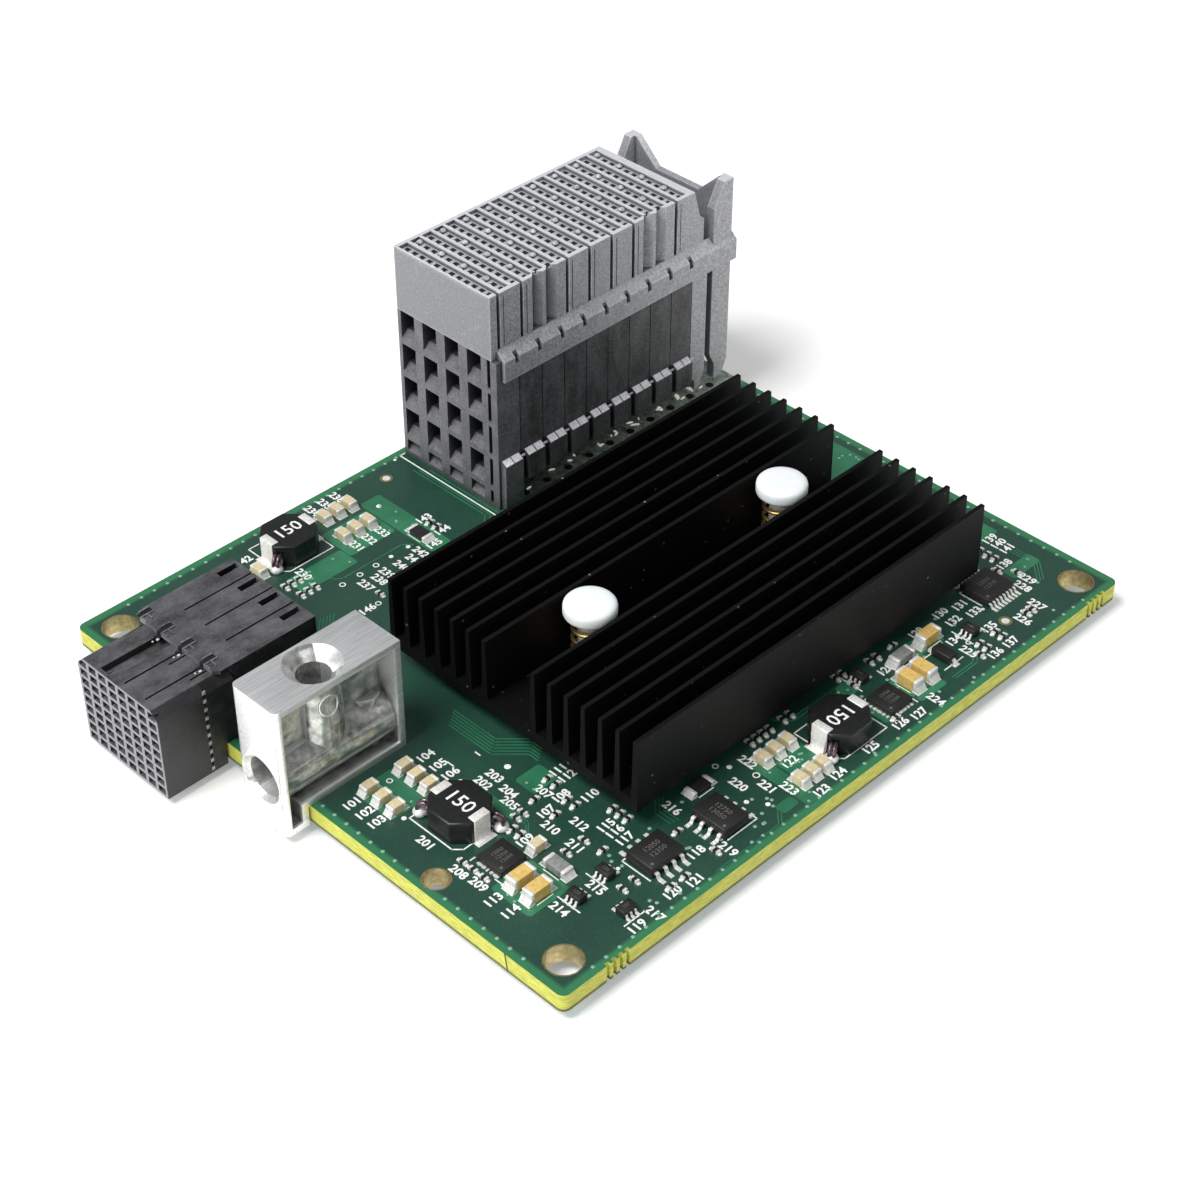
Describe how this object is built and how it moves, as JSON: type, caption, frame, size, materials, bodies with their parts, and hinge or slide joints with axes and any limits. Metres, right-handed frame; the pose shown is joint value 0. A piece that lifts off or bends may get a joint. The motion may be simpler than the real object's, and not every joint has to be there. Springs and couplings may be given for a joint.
{
  "type": "mezzanine network card",
  "caption": "Rectangular mezzanine network card with a finned heat sink, a tall stacked connector, a side connector and a cast guide block.",
  "frame": {"origin": "centre of the front corner hole, in the plane of the board's underside", "axes": "+X along the heat sink's fins, away from the guide block; +Y along the edge that the side connector overhangs, towards that connector; +Z out of the face that carries the parts"},
  "size_m": [0.1038, 0.0827, 0.0349],
  "materials": {
    "mask": "satin solder mask over copper",
    "laminate": "satin",
    "bare_metal": "satin",
    "pad": "matt",
    "black_anodised": "satin black anodised",
    "pin_plastic": "satin",
    "spring_brass": "satin",
    "grey_plastic": "fine grained",
    "dark_plastic": "fine grained",
    "tinned": "bright tinned",
    "cast_metal": "bright as cast, brushed on top",
    "ferrite": "matt black",
    "tan_ceramic": "matt tan",
    "grey_ceramic": "matt grey",
    "black_ceramic": "glazed black",
    "moulding": "matt black moulding"
  },
  "bodies": {
    "root": {"circuit_board": "mask", "controller_substrate": "laminate", "controller_lid": "bare_metal", "thermal_pad": "pad", "heat_sink": "black_anodised", "push_pins": "pin_plastic", "push_pin_springs": "spring_brass", "mezz_end_wafer": "grey_plastic", "mezz_wafers": "grey_plastic", "mezz_tail_tips": "tinned", "mezz_housing": "grey_plastic", "side_front_housing": "dark_plastic", "side_rear_shell": "dark_plastic", "side_wafers": "dark_plastic", "side_tail_tips": "tinned", "guide_block": "cast_metal", "guide_screw": "bare_metal", "choke_bodies": "ferrite", "choke_clips": "tinned", "choke_coil_ends": "tinned", "capacitor_small_bodies": "tan_ceramic", "capacitor_small_ends": "tinned", "capacitor_large_bodies": "tan_ceramic", "capacitor_large_ends": "tinned", "bead_bodies": "grey_ceramic", "bead_ends": "tinned", "resistor_bodies": "black_ceramic", "resistor_ends": "tinned", "tiny_chips": "black_ceramic", "so8_bodies": "moulding", "so8_leads": "tinned", "tssop_bodies": "moulding", "tssop_leads": "tinned", "sc70_bodies": "moulding", "sc70_leads": "tinned", "diode_body": "moulding", "diode_leads": "tinned", "flat_chips": "moulding"}
  },
  "joints": []
}
